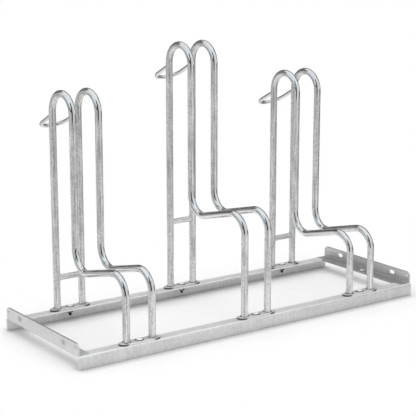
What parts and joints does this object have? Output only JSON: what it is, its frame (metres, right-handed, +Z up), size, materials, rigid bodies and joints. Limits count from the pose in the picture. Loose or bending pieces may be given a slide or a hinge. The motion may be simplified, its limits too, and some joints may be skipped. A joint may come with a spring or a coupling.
{
  "type": "floor bike rack",
  "caption": "Galvanised steel floor rack that parks bicycles side by side, each wheel between a pair of bent tube hoops with a lock eye, on a low frame of angle steel.",
  "frame": {"origin": "on the floor, at the middle of the whole rack's outline, lock eyes included", "axes": "+X along the rails from the left wheel place to the right one, +Y to the rear, where the lock eyes are, +Z up"},
  "size_m": [1.05, 0.4382, 0.7041],
  "materials": {
    "galvanised_angle": "hot-dip galvanised, matte light grey with faint streaks and a brighter folded edge",
    "galvanised_tube": "hot-dip galvanised tube, satin on the straight runs and shiny in the bends",
    "galvanised_round_bar": "hot-dip galvanised, satin",
    "galvanised_foot_plate": "hot-dip galvanised with shiny zinc around the welds",
    "zinc_fastener": "bright bluish zinc plating"
  },
  "bodies": {
    "root": {"front_rail": "galvanised_angle", "rear_rail": "galvanised_angle", "left_end_bar": "galvanised_angle", "right_end_bar": "galvanised_angle", "left_stand_left_hoop": "galvanised_tube", "left_stand_right_hoop": "galvanised_tube", "middle_stand_left_hoop": "galvanised_tube", "middle_stand_right_hoop": "galvanised_tube", "right_stand_left_hoop": "galvanised_tube", "right_stand_right_hoop": "galvanised_tube", "left_cross_tube": "galvanised_tube", "middle_cross_tube": "galvanised_tube", "right_cross_tube": "galvanised_tube", "left_lock_eye": "galvanised_round_bar", "middle_lock_eye": "galvanised_round_bar", "right_lock_eye": "galvanised_round_bar", "left_front_foot_plate": "galvanised_foot_plate", "left_rear_foot_plate": "galvanised_foot_plate", "middle_front_foot_plate": "galvanised_foot_plate", "middle_rear_foot_plate": "galvanised_foot_plate", "right_front_foot_plate": "galvanised_foot_plate", "right_rear_foot_plate": "galvanised_foot_plate", "carriage_bolts": "zinc_fastener", "washers": "zinc_fastener", "nuts": "zinc_fastener"}
  },
  "joints": []
}
